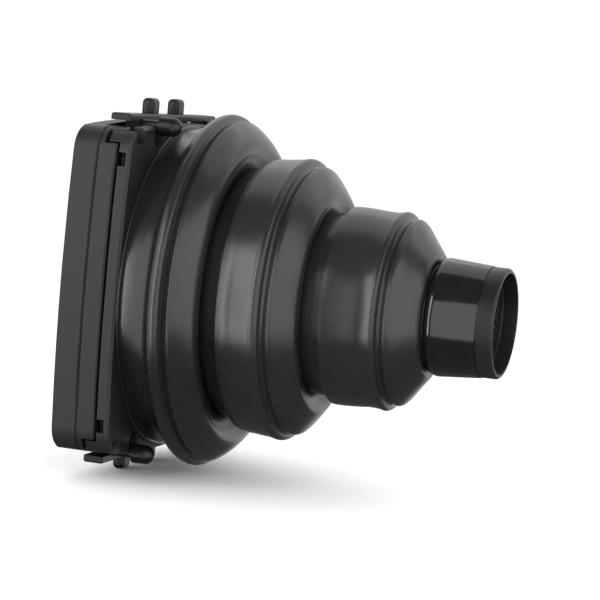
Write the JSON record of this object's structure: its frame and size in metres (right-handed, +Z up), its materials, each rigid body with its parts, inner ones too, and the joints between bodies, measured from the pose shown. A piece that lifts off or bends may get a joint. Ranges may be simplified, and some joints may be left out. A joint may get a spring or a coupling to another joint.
{
  "type": "snoot",
  "caption": "Collapsible speedlight snoot: square clip-on frame with squeeze latches, stepped rubber bellows and a hard nozzle with a honeycomb grid.",
  "frame": {"origin": "centre of the rear mating face of the square frame, on the beam axis", "axes": "+X along the beam, out of the nozzle; +Z up, towards the top latch; +Y completes the right-handed set"},
  "size_m": [0.1267, 0.1122, 0.1182],
  "materials": {
    "frame_plastic": "satin",
    "plate_plastic": "satin",
    "bellows_rubber": "satin",
    "seal_foam": "matte",
    "nozzle_plastic": "gloss",
    "latch_plastic": "satin",
    "stud_metal": "satin",
    "screw_steel": "satin",
    "spring_steel": "satin",
    "comb_metal": "satin"
  },
  "bodies": {
    "frame": {"rear_frame": "frame_plastic", "front_frame": "frame_plastic", "frame_screws": "screw_steel", "light_seal": "seal_foam", "gap_gasket": "seal_foam", "adapter_plate": "plate_plastic", "bellows_clamp_ring": "plate_plastic", "clamp_ring_screws": "screw_steel", "bellows_stage_1": "bellows_rubber", "bellows_fold_1": "bellows_rubber", "top_latch_springs": "spring_steel", "bottom_latch_springs": "spring_steel"},
    "stage_2": {"bellows_stage_2": "bellows_rubber", "bellows_fold_2": "bellows_rubber"},
    "stage_3": {"bellows_stage_3": "bellows_rubber", "bellows_fold_3": "bellows_rubber"},
    "nozzle": {"bellows_nozzle_cuff": "bellows_rubber", "nozzle_lock_ring": "nozzle_plastic", "nozzle_tube": "nozzle_plastic", "nozzle_collar": "latch_plastic"},
    "honeycomb": {"honeycomb_ring": "comb_metal", "honeycomb_grid": "comb_metal"},
    "top_latch": {"top_latch_bar": "latch_plastic", "top_latch_studs": "stud_metal"},
    "bottom_latch": {"bottom_latch_bar": "latch_plastic", "bottom_latch_studs": "stud_metal"}
  },
  "joints": [
    {"name": "collapse_1", "type": "slide", "parent": "frame", "child": "stage_2", "axis": [-1, 0, 0], "range_m": [0, 0.015], "deforming": ["bellows_fold_1"]},
    {"name": "collapse_2", "type": "slide", "parent": "stage_2", "child": "stage_3", "axis": [-1, 0, 0], "range_m": [0, 0.014], "deforming": ["bellows_fold_2"]},
    {"name": "collapse_3", "type": "slide", "parent": "stage_3", "child": "nozzle", "axis": [-1, 0, 0], "range_m": [0, 0.019], "deforming": ["bellows_fold_3"]},
    {"name": "honeycomb_pull", "type": "slide", "parent": "nozzle", "child": "honeycomb", "axis": [1, 0, 0], "range_m": [0, 0.012]},
    {"name": "top_latch_press", "type": "slide", "parent": "frame", "child": "top_latch", "axis": [0, 0, -1], "range_m": [0, 0.0034], "stiffness_N_per_m": 600, "springref_m": -0.002, "deforming": ["top_latch_springs"]},
    {"name": "bottom_latch_press", "type": "slide", "parent": "frame", "child": "bottom_latch", "axis": [0, 0, 1], "range_m": [0, 0.0034], "stiffness_N_per_m": 600, "springref_m": -0.002, "deforming": ["bottom_latch_springs"]}
  ]
}
